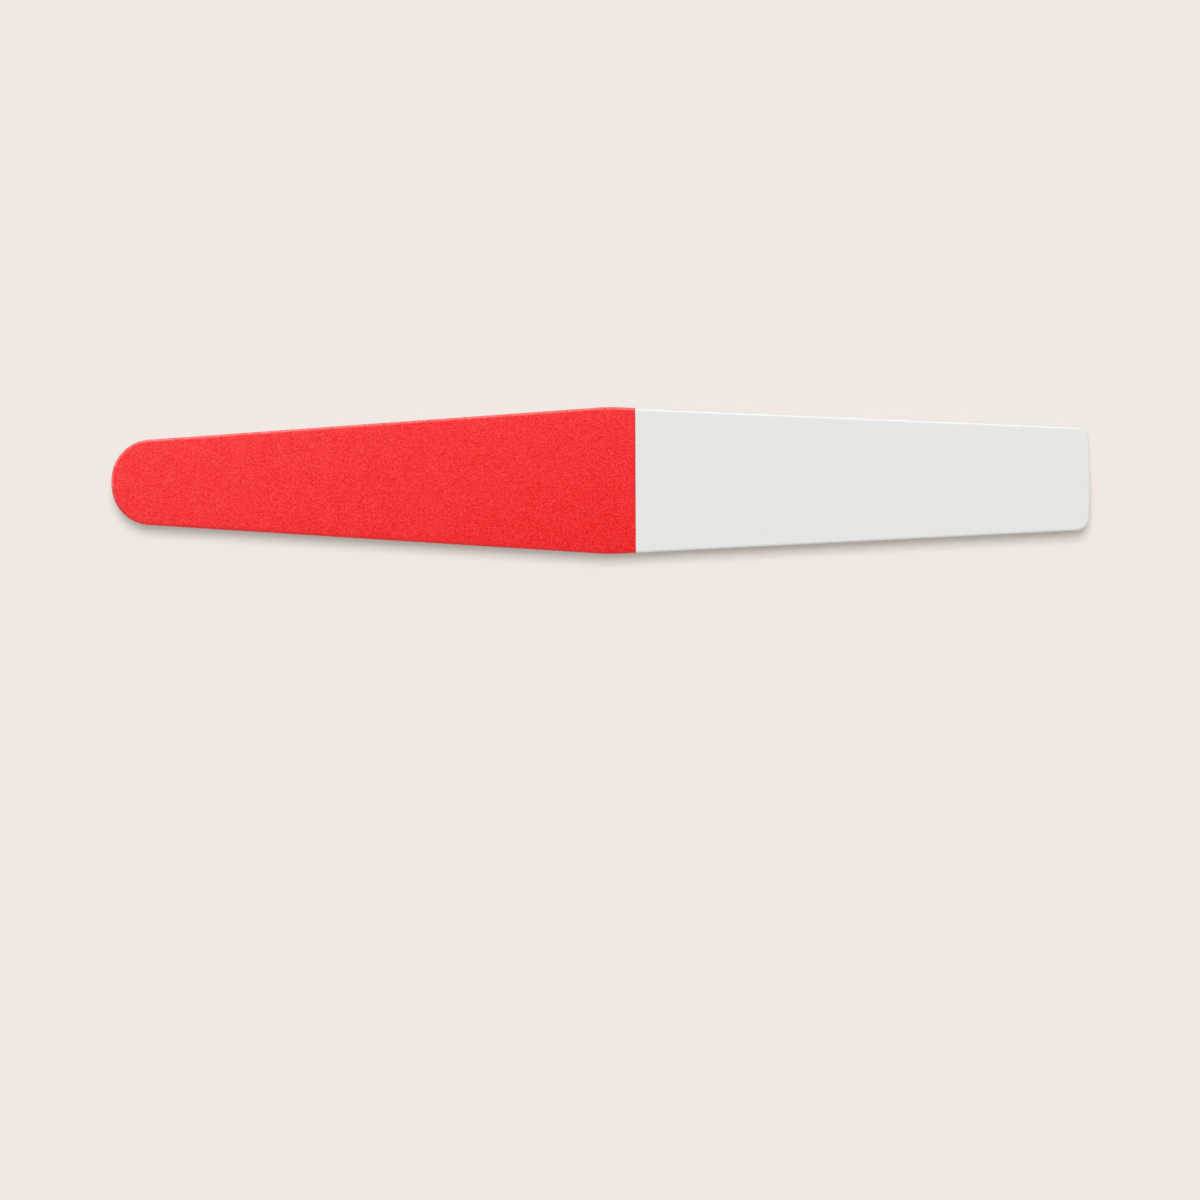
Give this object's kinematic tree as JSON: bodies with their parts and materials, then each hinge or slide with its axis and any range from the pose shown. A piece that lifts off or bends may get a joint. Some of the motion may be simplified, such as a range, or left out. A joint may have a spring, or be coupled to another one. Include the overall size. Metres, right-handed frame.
{
  "type": "nail buffer",
  "caption": "Slim double-tapered nail buffer with a round end and a square end: red grit and smooth white sheets on the front, a grey polishing sheet on the back, foam on a stiff core.",
  "frame": {"origin": "on the grey rear face, under the middle of the buffer's length and width", "axes": "+X along the length towards the square end, +Y across the width, +Z out of the red and white front face"},
  "size_m": [0.178, 0.0266, 0.004],
  "materials": {
    "red_grit": "rough grit in a matte binder",
    "white_coat": "satin",
    "grey_coat": "fine matte grain",
    "backing_paper": "matte",
    "adhesive": "satin",
    "foam": "matte closed-cell foam",
    "core_plastic": "satin"
  },
  "bodies": {
    "root": {"red_grit_coat": "red_grit", "red_sheet_backing": "backing_paper", "red_sheet_adhesive": "adhesive", "white_buffing_coat": "white_coat", "white_sheet_backing": "backing_paper", "white_sheet_adhesive": "adhesive", "front_foam_pad": "foam", "front_core_adhesive": "adhesive", "core_strip": "core_plastic", "rear_core_adhesive": "adhesive", "rear_foam_pad": "foam", "grey_sheet_adhesive": "adhesive", "grey_sheet_backing": "backing_paper", "grey_polishing_coat": "grey_coat"}
  },
  "joints": []
}
